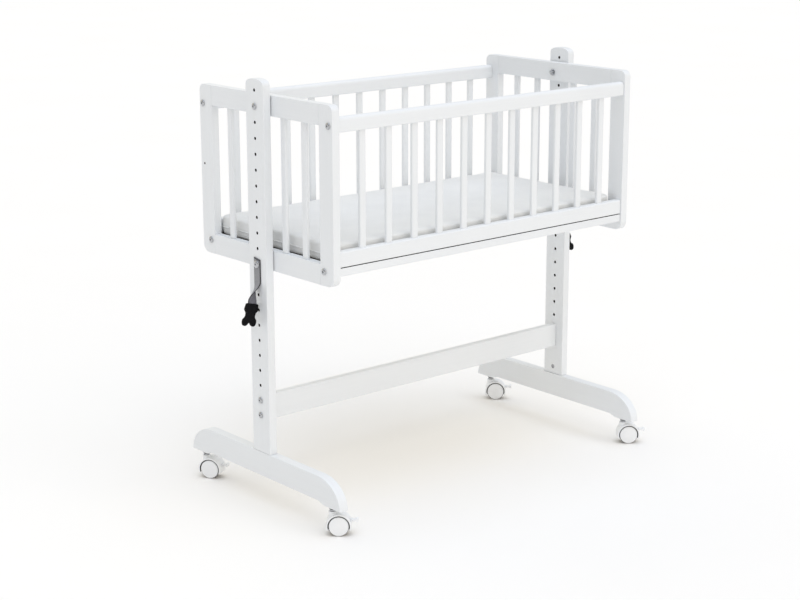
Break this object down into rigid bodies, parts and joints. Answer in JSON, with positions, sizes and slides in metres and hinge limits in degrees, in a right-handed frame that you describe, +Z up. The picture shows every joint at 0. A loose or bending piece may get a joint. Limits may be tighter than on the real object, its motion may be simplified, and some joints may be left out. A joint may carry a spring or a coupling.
{
  "type": "swinging cradle",
  "caption": "Slatted wooden baby cradle hung between two drilled posts on a stand with braked twin-wheel casters, with a mattress and bedside straps.",
  "frame": {"origin": "on the floor, under the middle of the crib and of the stand", "axes": "+X along the cradle from its left end to its right, +Y from its front side to its rear, +Z up"},
  "size_m": [0.9638, 0.5163, 0.892],
  "materials": {
    "white_lacquer": "white satin lacquer on solid beech, edges eased",
    "mattress_cover": "fine white woven cotton cover",
    "caster_plastic": "light grey-white moulded nylon",
    "tread": "grey soft tread",
    "steel": "zinc-plated steel",
    "webbing": "grey polypropylene webbing",
    "buckle_plastic": "black moulded acetal"
  },
  "bodies": {
    "root": {"post_left": "white_lacquer", "foot_left": "white_lacquer", "post_right": "white_lacquer", "foot_right": "white_lacquer", "stretcher": "white_lacquer", "pivot_bolt_left": "steel", "pivot_nut_left": "steel", "lock_bolt_left": "steel", "stretcher_bolt_left_20": "steel", "stretcher_bolt_left_21": "steel", "strap_left": "webbing", "buckle_left": "buckle_plastic", "pivot_bolt_right": "steel", "pivot_nut_right": "steel", "lock_bolt_right": "steel", "stretcher_bolt_right_20": "steel", "stretcher_bolt_right_21": "steel", "strap_right": "webbing", "buckle_right": "buckle_plastic"},
    "crib": {"stile_left_front": "white_lacquer", "stile_left_rear": "white_lacquer", "end_top_rail_left": "white_lacquer", "end_bottom_rail_left": "white_lacquer", "end_slat_left_1": "white_lacquer", "end_slat_left_2": "white_lacquer", "end_slat_left_3": "white_lacquer", "end_slat_left_4": "white_lacquer", "side_bolt_left_front": "steel", "base_bolt_left_front": "steel", "side_bolt_left_rear": "steel", "base_bolt_left_rear": "steel", "stile_right_front": "white_lacquer", "stile_right_rear": "white_lacquer", "end_top_rail_right": "white_lacquer", "end_bottom_rail_right": "white_lacquer", "end_slat_right_1": "white_lacquer", "end_slat_right_2": "white_lacquer", "end_slat_right_3": "white_lacquer", "end_slat_right_4": "white_lacquer", "side_bolt_right_front": "steel", "base_bolt_right_front": "steel", "side_bolt_right_rear": "steel", "base_bolt_right_rear": "steel", "side_frame_front": "white_lacquer", "side_frame_rear": "white_lacquer", "base_board": "white_lacquer", "mattress": "mattress_cover"},
    "caster_front_left": {"caster_housing_front_left": "caster_plastic"},
    "wheels_front_left": {"caster_wheels_front_left": "tread"},
    "brake_front_left": {"caster_brake_front_left": "caster_plastic"},
    "caster_rear_left": {"caster_housing_rear_left": "caster_plastic"},
    "wheels_rear_left": {"caster_wheels_rear_left": "tread"},
    "brake_rear_left": {"caster_brake_rear_left": "caster_plastic"},
    "caster_front_right": {"caster_housing_front_right": "caster_plastic"},
    "wheels_front_right": {"caster_wheels_front_right": "tread"},
    "brake_front_right": {"caster_brake_front_right": "caster_plastic"},
    "caster_rear_right": {"caster_housing_rear_right": "caster_plastic"},
    "wheels_rear_right": {"caster_wheels_rear_right": "tread"},
    "brake_rear_right": {"caster_brake_rear_right": "caster_plastic"}
  },
  "joints": [
    {"name": "crib_swing", "type": "hinge", "parent": "root", "child": "crib", "pos_m": [0, 0, 0.83725], "axis": [1, 0, 0], "range_deg": [-12, 12]},
    {"name": "caster_swivel_front_left", "type": "hinge", "parent": "root", "child": "caster_front_left", "pos_m": [-0.427, -0.221, 0.058], "axis": [0, 0, 1], "continuous": true},
    {"name": "wheel_spin_front_left", "type": "hinge", "parent": "caster_front_left", "child": "wheels_front_left", "pos_m": [-0.41794, -0.22887, 0.021], "axis": [0.6561, 0.7547, 0], "continuous": true},
    {"name": "brake_lever_front_left", "type": "hinge", "parent": "caster_front_left", "child": "brake_front_left", "pos_m": [-0.39802, -0.2462, 0.03061], "axis": [0.6561, 0.7547, 0], "range_deg": [0, 22]},
    {"name": "caster_swivel_rear_left", "type": "hinge", "parent": "root", "child": "caster_rear_left", "pos_m": [-0.427, 0.221, 0.058], "axis": [0, 0, 1], "continuous": true},
    {"name": "wheel_spin_rear_left", "type": "hinge", "parent": "caster_rear_left", "child": "wheels_rear_left", "pos_m": [-0.42064, 0.21082, 0.021], "axis": [0.848, 0.5299, 0], "continuous": true},
    {"name": "brake_lever_rear_left", "type": "hinge", "parent": "caster_rear_left", "child": "brake_rear_left", "pos_m": [-0.40665, 0.18843, 0.03061], "axis": [0.848, 0.5299, 0], "range_deg": [0, 22]},
    {"name": "caster_swivel_front_right", "type": "hinge", "parent": "root", "child": "caster_front_right", "pos_m": [0.427, -0.221, 0.058], "axis": [0, 0, 1], "continuous": true},
    {"name": "wheel_spin_front_right", "type": "hinge", "parent": "caster_front_right", "child": "wheels_front_right", "pos_m": [0.43646, -0.22839, 0.021], "axis": [0.6157, 0.788, 0], "continuous": true},
    {"name": "brake_lever_front_right", "type": "hinge", "parent": "caster_front_right", "child": "brake_front_right", "pos_m": [0.45726, -0.24465, 0.03061], "axis": [0.6157, 0.788, 0], "range_deg": [0, 22]},
    {"name": "caster_swivel_rear_right", "type": "hinge", "parent": "root", "child": "caster_rear_right", "pos_m": [0.427, 0.221, 0.058], "axis": [0, 0, 1], "continuous": true},
    {"name": "wheel_spin_rear_right", "type": "hinge", "parent": "caster_rear_right", "child": "wheels_rear_right", "pos_m": [0.43563, 0.21266, 0.021], "axis": [0.6947, 0.7193, 0], "continuous": true},
    {"name": "brake_lever_rear_right", "type": "hinge", "parent": "caster_rear_right", "child": "brake_rear_right", "pos_m": [0.45463, 0.19432, 0.03061], "axis": [0.6947, 0.7193, 0], "range_deg": [0, 22]}
  ]
}
